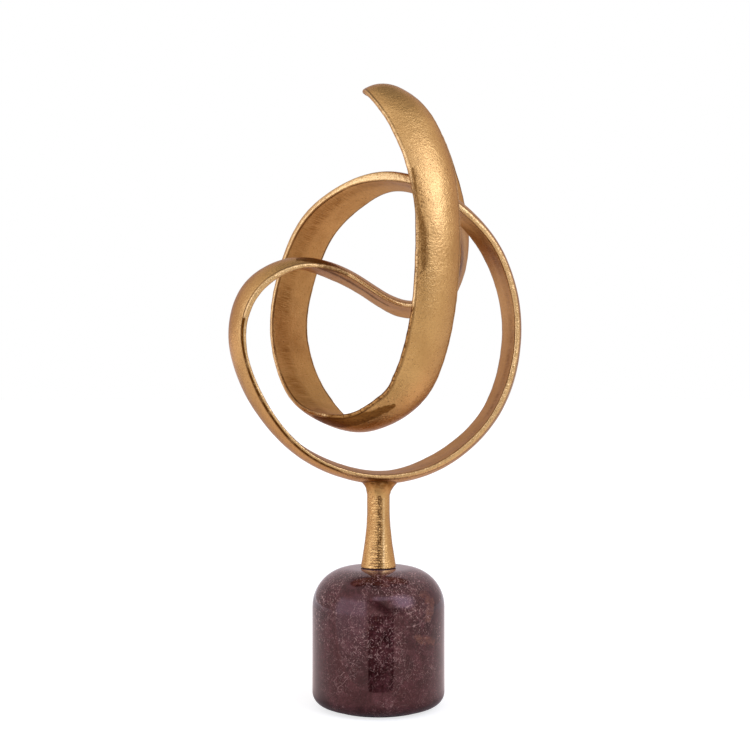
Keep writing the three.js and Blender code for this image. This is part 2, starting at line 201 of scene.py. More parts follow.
class KnotBase(PropertyGroup):
    """The marble base with its pads, and the fasteners under it."""

    shoulder: size("Shoulder", "Radius of the upper edge", 29 * MM)
    toe: size("Toe", "Radius of the lower edge", 9.5 * MM)
    bore: size("Bore", "Radius of the hole for the stud", 5.5 * MM)
    recess: size("Recess", "Radius of the nut's recess", 15 * MM)
    recess_depth: size("Recess depth", "Depth of the nut's recess", 24 * MM)
    pad_edge: size("Pad edge", "Rounding of the felt's and the washer's edges", 0.25 * MM)
    steel_edge: size("Steel edge", "Rounding of the fasteners' edges", 0.2 * MM)
    segments: count("Segments", "Faces round the base", 160)
    arc_steps: count("Arc steps", "Faces round a quarter arc", 14)
    dark: colour("Dark marble", "Darkest ground of the stone", (0.016, 0.003, 0.0032))
    ground: colour("Marble", "Main ground of the stone", (0.036, 0.0085, 0.009))
    light: colour("Light marble", "Cloudy parts of the stone", (0.085, 0.027, 0.029))
    vein: colour("Vein", "Veins and shell bits", (0.50, 0.30, 0.26))
    tan: colour("Tan", "Brown patches and flecks", (0.15, 0.056, 0.032))


class KnotStage(PropertyGroup):
    """Camera, floor and light."""

    eye: place("Eye", "Place of the camera", (-2.6 * MM, -1.0, 0.25))
    lens: amount("Lens", "Focal length on a 36 mm sensor", 63.36)
    room: amount("Room light", "Light from all round", 0.9)
    lamp_tint: colour("Lamp tint", "Cool light of the lamps", (0.56, 0.69, 1.0))
    back_tint: colour("Back tint", "Light from the walls behind", (0.80, 0.71, 0.73))
    right_light: amount("Right light", "Added by the soft lamp high on the right", 4.3)
    top_light: amount("Top light", "Added by the lamp over the camera", 2.0)
    left_light: amount("Left light", "Added by the broad lamp on the left", 1.8)
    window_light: amount("Window light", "Added by the small lamp high on the left", 0.5)
    floor_size: size("Floor size", "Length of the floor's sides", 12)
    floor_front: size("Floor front", "How far the floor reaches towards the camera", 125 * MM)
    floor_glow: share("Floor glow", "Share of the floor's white that takes no shadow", 0.72)
    floor_tint: colour("Floor tint", "Reflected light of the floor near the base", (0.86, 0.69, 0.67))
    far_tint: colour("Far tint", "Reflected light of the floor far from the base", (0.88, 0.86, 0.95))
    card_place: place("Card place", "Middle of the dark card", (15 * MM, -200 * MM, 21 * MM))
    card_width: size("Card width", "Width of the dark card", 140 * MM)
    card_height: size("Card height", "Height of the dark card", 90 * MM)


# Modelling helpers

def choose(*pieces):
    """Selects these objects alone, the first one active."""
    bpy.ops.object.select_all(action='DESELECT')
    for piece in pieces:
        piece.select_set(True)
    bpy.context.view_layer.objects.active = pieces[0]


@contextmanager
def editing(piece, kind='VERT', action='DESELECT'):
    """Edit mode on one object, with nothing or all of it selected."""
    choose(piece)
    bpy.ops.object.mode_set(mode='EDIT')
    bpy.ops.mesh.select_mode(type=kind)
    bpy.ops.mesh.select_all(action=action)
    yield bmesh.from_edit_mesh(piece.data)
    bpy.ops.object.mode_set(mode='OBJECT')


def apply_modifier(piece, kind, **options):
    """Adds a modifier with these options and applies it."""
    choose(piece)
    modifier = piece.modifiers.new(kind.title(), kind)
    for option, value in options.items():
        setattr(modifier, option, value)
    bpy.ops.object.modifier_apply(modifier=modifier.name)


def roughen(piece, name, length, height, **options):
    """Makes a surface uneven by smooth lumps of a length and height."""
    lumps = bpy.data.textures.new(name, 'CLOUDS')
    lumps.noise_scale = length
    apply_modifier(piece, 'DISPLACE', texture=lumps, texture_coords='LOCAL', strength=height, **options)


def select_open(boundary, crowded):
    """Selects the edges with one face, or those with three and more."""
    bpy.ops.mesh.select_non_manifold(
        use_wire=False, use_boundary=boundary, use_multi_face=crowded,
        use_non_contiguous=False, use_verts=False)


def copy_of(node):
    """A merged copy of a CAD node's mesh as a new object."""
    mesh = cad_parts[node].data.copy()
    mesh.materials.clear()
    piece = bpy.data.objects.new(node + "_finished", mesh)
    bpy.context.scene.collection.objects.link(piece)
    choose(piece)
    bpy.ops.mesh.customdata_custom_splitnormals_clear()
    with editing(piece, action='SELECT'):
        bpy.ops.mesh.remove_doubles(threshold=COPY_MERGE)
    return piece


def rounded_copy(node, width, segments):
    """A copy of a CAD node with its edges broken."""
    piece = copy_of(node)
    apply_modifier(piece, 'BEVEL', width=width, segments=segments, angle_limit=SHARP_EDGE)
    return piece


def finish_piece(piece, node, body, material):
    """Smooths a piece's shading, gives it its material and puts it in its node's place."""
    choose(piece)
    bpy.ops.object.shade_smooth_by_angle(angle=SHARP_EDGE)
    piece.data.materials.clear()
    piece.data.materials.append(material)
    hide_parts(node)
    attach(piece, body)


def arc(centre, radius, start, end, steps):
    """Points of an arc in a turned piece's profile, with angles in degrees."""
    turns = [math.radians(start + (end - start) * step / steps) for step in range(steps + 1)]
    return [(centre[0] + radius * math.cos(turn), centre[1] + radius * math.sin(turn)) for turn in turns]


def turned(name, profile, segments):
    """Spins a closed profile of [radius, height] points about the upright axis."""
    bpy.ops.object.select_all(action='DESELECT')
    bpy.ops.mesh.primitive_plane_add(size=1)
    piece = bpy.context.active_object
    piece.name = name
    with editing(piece, action='SELECT'):
        bpy.ops.mesh.merge(type='CENTER')
        bpy.ops.transform.translate(value=(profile[0][0], 0, profile[0][1]))
        for (radius, height), (next_radius, next_height) in pairwise(profile):
            reach = (next_radius - radius, 0, next_height - height)
            bpy.ops.mesh.extrude_vertices_move(TRANSFORM_OT_translate={"value": reach})
        bpy.ops.mesh.select_all(action='SELECT')
        bpy.ops.mesh.spin(steps=segments, angle=math.tau, center=(0, 0, 0), axis=(0, 0, 1))
        bpy.ops.mesh.select_all(action='SELECT')
        bpy.ops.mesh.remove_doubles(threshold=TURN_MERGE)
        bpy.ops.mesh.normals_make_consistent(inside=False)
    return piece


# Node helpers. Each adds nodes to the tree of the sockets that it is given, and returns what comes out.

def put(kind, inputs=None, tree=None, **options):
    """Adds a node to a tree, sets its options and feeds its inputs with values or sockets."""
    inputs = inputs or {}
    tree = tree or next(value.id_data for value in inputs.values() if isinstance(value, NodeSocket))
    node = tree.nodes.new(kind)
    node.location.x = NODE_STEP * len(tree.nodes)
    for option, value in options.items():
        setattr(node, option, value)
    for key, value in inputs.items():
        if isinstance(value, NodeSocket):
            tree.links.new(value, node.inputs[key])
        else:
            node.inputs[key].default_value = value
    return node


def maths(operation, *values, **options):
    return put('ShaderNodeMath', dict(enumerate(values)), operation=operation, **options).outputs[0]


def in_turn(operation):
    """Arithmetic that takes any number of values, one after the other."""
    return lambda *values: reduce(partial(maths, operation), values)


times, plus, less, most = map(in_turn, ('MULTIPLY', 'ADD', 'SUBTRACT', 'MAXIMUM'))


def vectors(operation, *values, result="Vector"):
    return put('ShaderNodeVectorMath', dict(enumerate(values)), operation=operation).outputs[result]


measured = partial(vectors, result="Value")


def scaled(vector, level):
    return put('ShaderNodeVectorMath', {0: vector, "Scale": level}, operation='SCALE').outputs[0]


def stretched(vector, scale):
    return put('ShaderNodeMapping', {"Vector": vector, "Scale": scale}).outputs[0]


def split(vector):
    return put('ShaderNodeSeparateXYZ', {0: vector}).outputs


def chances(tint):
    """Three chances out of the colour of a cell."""
    return put('ShaderNodeSeparateColor', {0: tint}).outputs


def blend(factor, first, second, mode='MIX'):
    """Mixes two colours, each a socket or three numbers."""
    first, second = (tint if isinstance(tint, NodeSocket) else (*tint, 1) for tint in (first, second))
    inputs = {0: factor, 6: first, 7: second}
    return put('ShaderNodeMix', inputs, data_type='RGBA', blend_type=mode).outputs[2]


def ramp(value, low, high, to_low=0.0, to_high=1.0):
    """Eases a value from one range to another."""
    inputs = {"Value": value, "From Min": low, "From Max": high, "To Min": to_low, "To Max": to_high}
    return put('ShaderNodeMapRange', inputs, interpolation_type='SMOOTHSTEP').outputs["Result"]


def band(value, middle, inner, outer):
    """One within a distance of a middle value, none beyond an outer distance."""
    away = maths('ABSOLUTE', less(value, middle))
    return ramp(away, inner, outer, 1, 0)


def noise(vector, scale, detail=2.0, roughness=0.5, distortion=0.0):
    """Cloudy noise, with its scale to a metre."""
    inputs = {"Vector": vector, "Scale": scale, "Detail": detail,
              "Roughness": roughness, "Distortion": distortion}
    return put('ShaderNodeTexNoise', inputs).outputs[0]


def cells(vector, scale):
    """Cells about scattered points, so many to a metre."""
    return put('ShaderNodeTexVoronoi', {"Vector": vector, "Scale": scale}).outputs


def threads(vector, scale, width, distortion=1.0, detail=2.0):
    """Thin wandering lines, where a noise crosses its middle value."""
    return band(noise(vector, scale, detail, 0.5, distortion), 0.5, 0, width)


def chips(vector, scale, width):
    """Short straight strokes that lie every way."""
    cell = cells(vector, scale)
    way = vectors('NORMALIZE', vectors('SUBTRACT', cell["Color"], (0.5, 0.5, 0.5)))
    level = measured('DOT_PRODUCT', vectors('SUBTRACT', vector, cell["Position"]), way)
    kept = ramp(chances(cell["Color"])[0], 0.35, 0.75)
    ends = times(ramp(cell["Distance"], 0.3, 0.55, 1, 0), kept)
    return times(band(level, 0, 0.3 * width, width), ends)


def spots(vector, places):
    """Soft round spots, given by middle and reach in millimetres."""
    mask = 0.0
    for *middle, reach in places:
        away = measured('DISTANCE', vector, Vector(middle) * MM)
        mask = most(ramp(away, 0, reach * MM, 1, 0), mask)
    return mask


def streaks(vector, lines):
    """Soft lines through points given by place and reach in millimetres."""
    mask = 0.0
    for (*start, reach), (*end, next_reach) in (stretch for line in lines for stretch in pairwise(line)):
        start, end = Vector(start) * MM, Vector(end) * MM
        way = end - start
        past = vectors('SUBTRACT', vector, start)
        level = measured('DOT_PRODUCT', past, way)
        part = maths('DIVIDE', level, way.length_squared, use_clamp=True)
        away = measured('DISTANCE', past, scaled(way, part))
        width = maths('MULTIPLY_ADD', part, (next_reach - reach) * MM, reach * MM)
        mask = most(ramp(away, 0, width, 1, 0), mask)
    return mask


def bump(height, distance):
    return put('ShaderNodeBump', {"Height": height, "Distance": distance}).outputs["Normal"]


def new_material(name):
    """A material with its Principled shader, and the piece's own coordinates."""
    material = bpy.data.materials.new(name)
    material.use_nodes = True
    shader = material.node_tree.nodes["Principled BSDF"]
    here = put('ShaderNodeTexCoord', tree=material.node_tree).outputs["Object"]
    return material, shader, here


def feed(shader, **sockets):
    """Links or sets the shader's sockets, named with underscores."""
    for name, value in sockets.items():
        socket = shader.inputs[name.replace("_", " ")]
        if isinstance(value, NodeSocket):
            shader.id_data.links.new(value, socket)
        else:
            socket.default_value = value


def cast_surface():
    """Node group of the sand-cast skin: cloudy tone, pits and height."""
    group = bpy.data.node_groups.get("Cast surface")
    if group:
        return group
    group = bpy.data.node_groups.new("Cast surface", 'ShaderNodeTree')
    face = group.interface
    face.new_socket("Vector", in_out='INPUT', socket_type='NodeSocketVector')
    pitting = face.new_socket("Pitting", in_out='INPUT', socket_type='NodeSocketFloat')
    pitting.default_value = 0.3
    for name in ("Cloud", "Pits", "Height"):
        face.new_socket(name, in_out='OUTPUT', socket_type='NodeSocketFloat')
    given = put('NodeGroupInput', tree=group).outputs
    here = given["Vector"]
    cloud = noise(here, 42, 5, 0.6, 0.4)
    cell = cells(here, 420)
    dense = ramp(noise(here, 30, 2), 0.4, 0.7)
    width = times(chances(cell["Color"])[0], dense, given["Pitting"])
    pits = ramp(less(width, cell["Distance"]), -0.10, 0.03)
    peel = times(noise(here, 170, 2), 1.6)
    sand = times(noise(here, 650, 3, 0.65), 2.2)
    height = less(plus(peel, sand), pits)
    put('NodeGroupOutput', {"Cloud": cloud, "Pits": pits, "Height": height})
    return group


def cast(vector, pitting):
    """Places the cast surface in a material."""
    return put('ShaderNodeGroup', {"Vector": vector, "Pitting": pitting}, node_tree=cast_surface()).outputs


# Materials. A ramp's first two numbers are levels of a pattern or lengths, and the next two what they become.

def gold_tone(metal, skin, gathered):
    """Gold that goes brown by a share, cloudy all over, dark in the pits."""
    cloudy = ramp(skin["Cloud"], 0.35, 0.75, 0, 0.30)
    tone = blend(most(cloudy, gathered), metal.gold, metal.brown)
    return blend(times(skin["Pits"], 0.6), tone, metal.pit_and_shade)


def gild(shader, metal, tone, rough, height, depth, metallic=1.0, lacquer=0.05):
    """Feeds a gold shader with its colour, roughness and height."""
    feed(shader, Base_Color=tone, Metallic=metallic, Roughness=rough, Normal=bump(height, depth))
    feed(shader, Specular_Tint=(*metal.edge, 1), Coat_Weight=lacquer, Coat_Roughness=0.25)


def ribbon_lay(tree, girth, inside_end):
    """The ribbon's layout, and how far a place lies from the middle of its crown and from its front rim."""
    lay = put('ShaderNodeUVMap', tree=tree, uv_map="unrolled").outputs["UV"]
    across = split(lay)["X"]
    from_crown = maths('ABSOLUTE', less(across, girth / 2))
    wrapped = times(maths('GREATER_THAN', across, girth / 2), girth)
    from_rim = less(inside_end, less(across, wrapped))
    return lay, from_crown, from_rim


def ribbon_gold(metal, girth, inside_end, crown_end):
    """Antique gold for the ribbon, laid out in metres. U starts in the middle of its inside."""
    material, shader, here = new_material("antique_gold")
    pitting, depth = RIBBON_SKIN
    skin = cast(here, pitting)
    lay, from_crown, from_rim = ribbon_lay(material.node_tree, girth, inside_end)
    crown_end, rim_end = girth / 2 - crown_end, girth / 2 - inside_end
    half_rim = (rim_end - crown_end) / 2
    inside = ramp(from_crown, rim_end - 0.3 * MM, rim_end + 0.7 * MM)
    outside = less(1.0, inside)
    rim = band(from_crown, crown_end + half_rim, half_rim - 0.4 * MM, half_rim + 0.6 * MM)
    brushed = noise(stretched(lay, (90, 1500, 1)), 1, 3, 0.65)
    drawn = noise(stretched(lay, (800, 110, 1)), 1, 3, 0.65)
    dashed = noise(stretched(lay, (320, 1500, 1)), 1, 2)
    ragged = noise(here, 130, 4, 0.7)
    patchy = noise(here, 38, 3, 0.6)
    grains = noise(here, 560, 3, 0.6)
    uneven = times(less(plus(drawn, ragged), 1.0), 0.7)
    # brown on the inside, deepest along the front rim, and along the brown streaks, partly stains and partly
    # painted shade
    deep = plus(times(band(from_rim, 9 * MM, 2 * MM, 12 * MM), 0.65), 0.06)
    worked = times(ramp(brushed, 0.32, 0.68, 0.3, 1.3), ramp(patchy, 0.35, 0.65, 0.5, 1.15))
    stain_and_shade = ramp(plus(streaks(here, BROWN_STREAKS), uneven), 0.2, 0.6, 0, 0.95)
    tone = gold_tone(metal, skin, most(times(deep, inside, worked), stain_and_shade))
    # rims lightened with the worn colour, partly wear and partly a painted highlight, between two dark lines,
    # and fine dashes
    tone = blend(times(rim, 0.65), tone, metal.worn)
    inner_line = band(from_crown, rim_end + 0.5 * MM, 0.3 * MM, 1.2 * MM)
    outer_line = times(band(from_crown, crown_end - 0.5 * MM, 0.2 * MM, 1.2 * MM), 0.6)
    lines = times(most(inner_line, outer_line), ramp(patchy, 0.3, 0.6, 0.45, 1.0))
    dashes = times(ramp(dashed, 0.66, 0.76), ramp(ragged, 0.5, 0.62))
    cut = most(lines, dashes)
    # crumpled edge browned as painted shade, black streaks of painted shade and dark reflections, and dirty
    # rims
    by_edge = ramp(from_crown, crown_end - 11 * MM, crown_end - 3 * MM)
    crumpled = times(streaks(here, CRUMPLE_AND_SHADE_STREAKS), by_edge, outside)
    specks = maths('MULTIPLY_ADD', noise(here, 950, 2, 0.6), 1.3, -0.65)
    specks = plus(specks, times(uneven, 0.8))
    # Painted shade and painted dark reflections along these streaks, speckled; the dark rims join them below.
    shade_and_dark_rims = ramp(plus(streaks(here, SHADE_STREAKS), specks), 0.25, 1.15)
    dark_rim = band(from_crown, crown_end + 0.8 * MM, 0.7 * MM, 1.5 * MM)
    dark_rim = times(ramp(streaks(here, DARK_RIMS), 0, 0.3), dark_rim)
    shade_and_dark_rims = most(shade_and_dark_rims, times(dark_rim, ramp(ragged, 0.3, 0.5, 0.75, 1.25)))
    dirty = times(ramp(streaks(here, DIRTY_RIMS), 0, 0.4), rim)
    # Brown on the crumpled edge is painted shade; on the dirty rims it is dirt.
    gathered = most(times(crumpled, 0.4), times(dirty, 0.9))
    tone = blend(gathered, tone, metal.brown)
    tone = blend(times(stain_and_shade, 0.4), tone, metal.pit_and_shade)
    # Pit colour over dirt, stains and cuts, and over painted shade on the crumpled edge and along the shade
    # streaks.
    dirt_and_shade = most(times(crumpled, 0.8), dirty, times(stain_and_shade, 0.7))
    dirt_and_shade = most(times(dirt_and_shade, ramp(grains, 0.50, 0.60)), shade_and_dark_rims, cut)
    tone = blend(times(dirt_and_shade, 0.8), tone, metal.pit_and_shade)
    # matt streak, browned there as painted shade, and brown grain
    matt = streaks(here, MATT_STREAKS)
    tone = blend(times(matt, 0.3), tone, metal.brown)
    tone = blend(ramp(noise(here, 820, 3, 0.7), 0.48, 0.70, 0, 0.4), tone, metal.brown)
    # lacquer and roughness
    dull = most(matt, shade_and_dark_rims, stain_and_shade)
    lacquer = times(ramp(outside, 0, 1, 0.0, 0.12), ramp(dull, 0, 0.6, 1, 0))
    metallic = ramp(matt, 0, 1, 1.0, 0.5)
    rough = ramp(skin["Cloud"], 0.3, 0.8, 0.22, 0.32)
    rough = plus(rough, times(inside, 0.10), times(dull, 0.12))
    # brush marks, lumps and cuts
    marks = times(brushed, inside, 0.8)
    rim_lumps = times(rim, 3.0, noise(here, 190, 2))
    lumps = plus(rim_lumps, times(crumpled, grains, 3.0))
    height = plus(skin["Height"], lumps, less(marks, cut))
    gild(shader, metal, tone, rough, height, depth, metallic, lacquer)
    return material


def stem_gold(metal):
    """Antique gold with the ripples of turning in front on the left, and a crackled seam darkened as a
    painted dark reflection beside a ridge lit by a painted highlight.
    """
    material, shader, here = new_material("stem_gold")
    pitting, depth = STEM_SKIN
    skin = cast(here, pitting)
    parts = split(here)
    side = parts["X"]
    ripple = put('ShaderNodeTexWave', {
        "Vector": here, "Scale": 165, "Distortion": 4, "Detail": 2, "Detail Scale": 2.5,
    }, bands_direction='Z').outputs["Fac"]
    in_front = ramp(parts["Y"], -5 * MM, 0, 2.4, 0.4)
    turned_side = times(band(side, -2.5 * MM, 2 * MM, 6 * MM), in_front)
    ripple = times(ripple, plus(turned_side, 0.2))
    crackle = noise(stretched(here, (1, 1, 0.35)), 760, 4, 0.7, 0.6)
    crackle = times(band(side, 0.9 * MM, 1.0 * MM, 2.3 * MM), ramp(crackle, 0.44, 0.56))
    seam = most(crackle, times(band(side, 1.2 * MM, 0.3 * MM, 1.8 * MM), 0.45))
    ridge = band(side, 4.0 * MM, 0.3 * MM, 1.4 * MM)
    tone = gold_tone(metal, skin, ramp(noise(here, 120, 4), 0.55, 0.8, 0, 0.5))
    # Painted highlight along the ridge, and painted dark reflection along the crackled seam.
    tone = blend(times(ridge, 0.6), tone, metal.worn)
    tone = blend(times(seam, 0.85), tone, metal.pit_and_shade)
    rough = ramp(skin["Cloud"], 0.3, 0.8, 0.15, 0.25)
    crumpled = times(noise(here, 260, 4, 0.6), 2.5)
    raised = less(plus(ripple, ridge), times(seam, 2.0))
    height = plus(skin["Height"], crumpled, raised)
    gild(shader, metal, tone, rough, height, depth)
    return material


def weld_gold(metal):
    """Dark, rough gold of the weld, browner towards the ribbon as painted shade under the hoop."""
    material, shader, here = new_material("weld_gold")
    pitting, depth = WELD_SKIN
    skin = cast(here, pitting)
    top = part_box("stem")[1].z
    # Browner upwards: painted shade under the hoop.
    upwards = ramp(split(here)["Z"], top - 9 * MM, top, 0.1, 1.0)
    gathered = times(ramp(noise(here, 260, 4, 0.6), 0.34, 0.56, 0.4, 1.0), upwards)
    tone = gold_tone(metal, skin, gathered)
    rough = ramp(skin["Cloud"], 0.3, 0.8, 0.32, 0.5)
    height = plus(skin["Height"], noise(here, 420, 4, 0.6))
    gild(shader, metal, tone, rough, height, depth)
    return material


def marble_ground(here, stone):
    """Clouds and mottling of the stone."""
    tone = blend(ramp(noise(here, 28, 7, 0.6, 0.8), 0.34, 0.56), stone.dark, stone.ground)
    tone = blend(ramp(noise(here, 62, 4, 0.6, 1.0), 0.45, 0.68, 0, 0.6), tone, stone.light)
    tone = blend(ramp(noise(here, 150, 5, 0.62, 0.6), 0.46, 0.70, 0, 0.6), tone, stone.light)
    return blend(ramp(noise(here, 95, 4, 0.65, 0.8), 0.52, 0.66, 0, 0.7), tone, stone.dark)


def tan_patches(here, stone, tone):
    """Torn tan patches with dark outlines."""
    lines = streaks(here, TAN_STREAKS)
    torn = maths('MULTIPLY_ADD', noise(here, 130, 6, 0.7, 0.8), 2.4, -1.2)
    patch = plus(lines, torn)
    worn = ramp(noise(here, 330, 4, 0.7), 0.35, 0.65, 0.3, 1.0)
    tone = blend(times(ramp(patch, 0.3, 0.9, 0, 0.75), worn), tone, stone.tan)
    outline = times(band(patch, 0.22, 0.02, 0.14), ramp(lines, 0, 0.15, 0, 0.7))
    return blend(outline, tone, stone.dark)


def shell_hash(here, stone, tone):
    """Dark and bright flecks and short strokes, denser high up, and a fine grain."""
    upwards = ramp(split(here)["Z"], 15 * MM, 72 * MM, 0.25, 1.0)
    dense = times(ramp(noise(here, 32, 3), 0.34, 0.58), upwards)
    cell = cells(here, 520)
    brightness, warmth, darkness = chances(cell["Color"])
    fleck = times(ramp(cell["Distance"], 0.15, 0.6, 1, 0), dense)
    tone = blend(times(fleck, ramp(darkness, 0.35, 0.7, 0, 0.8)), tone, stone.dark)
    bright = times(fleck, ramp(brightness, 0.55, 0.95, 0, 0.3))
    tone = blend(bright, tone, blend(warmth, stone.tan, stone.vein))
    for scale, width, strength in MARBLE_CHIPS:
        strokes = times(chips(here, scale, width), dense, strength)
        tone = blend(strokes, tone, stone.vein)
    grain = ramp(noise(here, 800, 3, 0.7), 0.3, 0.7, 0.65, 1.4)
    grey = put('ShaderNodeCombineColor', {0: grain, 1: grain, 2: grain}).outputs[0]
    return blend(1.0, tone, grey, 'MULTIPLY')


def brown_marble(stone):
    """Polished maroon marble: clouds, tan patches, shell hash, a few veins and dark eyes."""
    material, shader, here = new_material("brown_marble")
    tone = marble_ground(here, stone)
    tone = tan_patches(here, stone, tone)
    tone = shell_hash(here, stone, tone)
    in_places = ramp(noise(here, 75, 3), 0.54, 0.66)
    shells = times(threads(here, 120, 0.014, 2.2), in_places)
    tone = blend(times(shells, 0.5), tone, stone.vein)
    elsewhere = ramp(noise(here, 25, 3), 0.55, 0.66, 0, 0.7)
    veined = most(spots(here, VEIN_SPOTS), elsewhere)
    veins = times(threads(here, 34, 0.008, 1.6, 4), veined)
    tone = blend(times(veins, 0.5), tone, stone.vein)
    tone = blend(ramp(streaks(here, EYE_STREAKS), 0, 0.6), tone, stone.dark)
    polish = ramp(noise(here, 300, 3), 0.3, 0.8, 0.03, 0.07)
    feed(shader, Base_Color=tone, Roughness=polish, IOR=1.54, Specular_Tint=(1, 0.56, 0.55, 1))
    feed(shader, Sheen_Weight=0.12, Sheen_Roughness=0.35, Sheen_Tint=(1, 0.5, 0.6, 1))
    return material


def felt():
    """Dark felt with a loose nap."""
    material, shader, here = new_material("dark_felt")
    nap = noise(here, 900, 5, 0.75, 1.2)
    tone = blend(ramp(nap, 0.3, 0.7), (0.012, 0.008, 0.008), (0.045, 0.032, 0.030))
    feed(shader, Base_Color=tone, Roughness=0.95, Sheen_Weight=0.3, Normal=bump(nap, 0.25 * MM))
    return material


def rubber():
    """Dull black rubber with a dusty bloom."""
    material, shader, here = new_material("black_rubber")
    bloom = noise(here, 240, 4, 0.6)
    tone = blend(ramp(bloom, 0.4, 0.8), (0.014, 0.011, 0.010), (0.050, 0.042, 0.038))
    rough = ramp(bloom, 0.3, 0.8, 0.6, 0.85)
    feed(shader, Base_Color=tone, Roughness=rough, Normal=bump(bloom, 0.05 * MM))
    return material


def zinc_steel():
    """Zinc-plated steel, spangled and a little yellow."""
    material, shader, here = new_material("zinc_steel")
    shade = chances(cells(here, 700)["Color"])[0]
    tone = blend(shade, (0.52, 0.52, 0.50), (0.70, 0.68, 0.60))
    rough = ramp(noise(here, 400, 3), 0.3, 0.7, 0.24, 0.42)
    scratches = noise(here, 1600, 2)
    feed(shader, Base_Color=tone, Metallic=1.0, Roughness=rough, Normal=bump(scratches, 0.01 * MM))
    return material


# Ribbon

def close_welds(ribbon, gap):
    """Merges the castings end to end, takes out the ends inside and turns triangles to quads."""
    with editing(ribbon, action='SELECT'):
        bpy.ops.mesh.remove_doubles(threshold=gap)
        bpy.ops.mesh.select_all(action='DESELECT')
        select_open(boundary=False, crowded=True)
        bpy.ops.mesh.select_mode(type='FACE')
        bpy.ops.mesh.delete(type='FACE')
        bpy.ops.mesh.select_all(action='SELECT')
        bpy.ops.mesh.tris_convert_to_quads(
            face_threshold=math.pi, shape_threshold=math.pi, topology_influence=1.5)


def walk(start, edge):
    """Corners of a grid of quads in a straight line from one corner, until it comes round."""
    line, corner = [start], edge.other_vert(start)
    while corner is not start:
        line.append(corner)
        edge = next(way for way in corner.link_edges if not set(way.link_faces) & set(edge.link_faces))
        corner = edge.other_vert(corner)
    return line


def ring_rows(mesh):
    """Rows of corners round the section, one after the other along the ribbon."""
    start = mesh.verts[0]
    lines = sorted((walk(start, edge) for edge in start.link_edges), key=len)
    strand, ring = lines[-1], lines[0]
    step = mesh.edges.get((start, ring[1]))
    rows = [ring]
    for before, corner in pairwise(strand):
        faces = set(step.link_faces)
        step = next(way for way in corner.link_edges
                    if set(way.link_faces) & faces and way.other_vert(corner) is not before)
        rows.append(walk(corner, step))
    return rows


def from_inside(rows):
    """Turns every row to start in the middle of the inside and run to the front rim first."""
    ring = rows[0]
    lengths = [(ring[index - 1].co - ring[index].co).length for index in range(len(ring))]
    middle = max(range(len(ring)), key=lambda index: lengths[index] + lengths[(index + 1) % len(ring)])
    rows = [row[middle:] + row[:middle] for row in rows]
    depth = sum(row[column].co.y - row[-column].co.y for row in rows for column in RIM_COLUMNS[:2])
    if depth > 0:
        rows = [row[:1] + row[:0:-1] for row in rows]
    return rows


def running(lengths):
    """Distances from the start, with the start itself."""
    total, marks = 0.0, [0.0]
    for length in lengths:
        total += length
        marks.append(total)
    return marks


def thicken_rim(rows):
    """Raises the inner edge of the front rim where it is thicker."""
    for row in rows:
        inner, outer = row[1:3]
        added = max(depth * max(0, 1 - ((outer.co - Vector(middle) * MM).length / (reach * MM)) ** 2)
                    for *middle, reach, depth in THICK_RIM)
        for corner in (inner, outer):
            corner.co += row[0].normal * added * MM


def unroll(ribbon):
    """Lays the ribbon out flat, in metres: its girth, and where its inside ends and its crown begins."""
    with editing(ribbon) as mesh:
        mesh.verts.ensure_lookup_table()
        if any(len(face.verts) != 4 for face in mesh.faces):
            raise RuntimeError("the ribbon isn't all quads")
        rows = from_inside(ring_rows(mesh))
        thicken_rim(rows)
        columns = len(rows[0])
        sides = [sum((row[column].co - row[(column + 1) % columns].co).length for row in rows) / len(rows)
                 for column in range(columns)]
        across = running(sides)
        middles = [sum((corner.co for corner in row), Vector()) / columns for row in rows]
        along = running((one - two).length for one, two in zip(middles, middles[1:] + middles[:1]))
        cell = {corner: (column, line) for line, row in enumerate(rows) for column, corner in enumerate(row)}
        layer = mesh.loops.layers.uv.new("unrolled")
        for face in mesh.faces:
            corners = [cell[loop.vert] for loop in face.loops]
            last_column = max(column for column, line in corners) == columns - 1
            last_line = max(line for column, line in corners) == len(rows) - 1
            for loop, (column, line) in zip(face.loops, corners):
                column = columns if last_column and column == 0 else column
                line = len(rows) if last_line and line == 0 else line
                loop[layer].uv = (across[column], along[line])
        for row in rows:
            for column in RIM_COLUMNS:
                row[column].select_set(True)
        bpy.ops.object.vertex_group_assign_new()
    inside_end, crown_end = across[RIM_COLUMNS[0] - 1], across[RIM_COLUMNS[1] + 1]
    return across[-1], inside_end, crown_end


def push_corners(ribbon):
    """Pulls the blade's edge out to its line and corners."""
    for middle, push, reach in CORNERS:
        with editing(ribbon) as mesh:
            corner = min(mesh.verts, key=lambda vert: (vert.co - Vector(middle) * MM).length)
            corner.select_set(True)
            mesh.select_flush(True)
            bpy.ops.transform.translate(
                value=Vector(push) * MM, use_proportional_edit=True, use_proportional_connected=True,
                proportional_edit_falloff='SMOOTH', proportional_size=reach * MM)


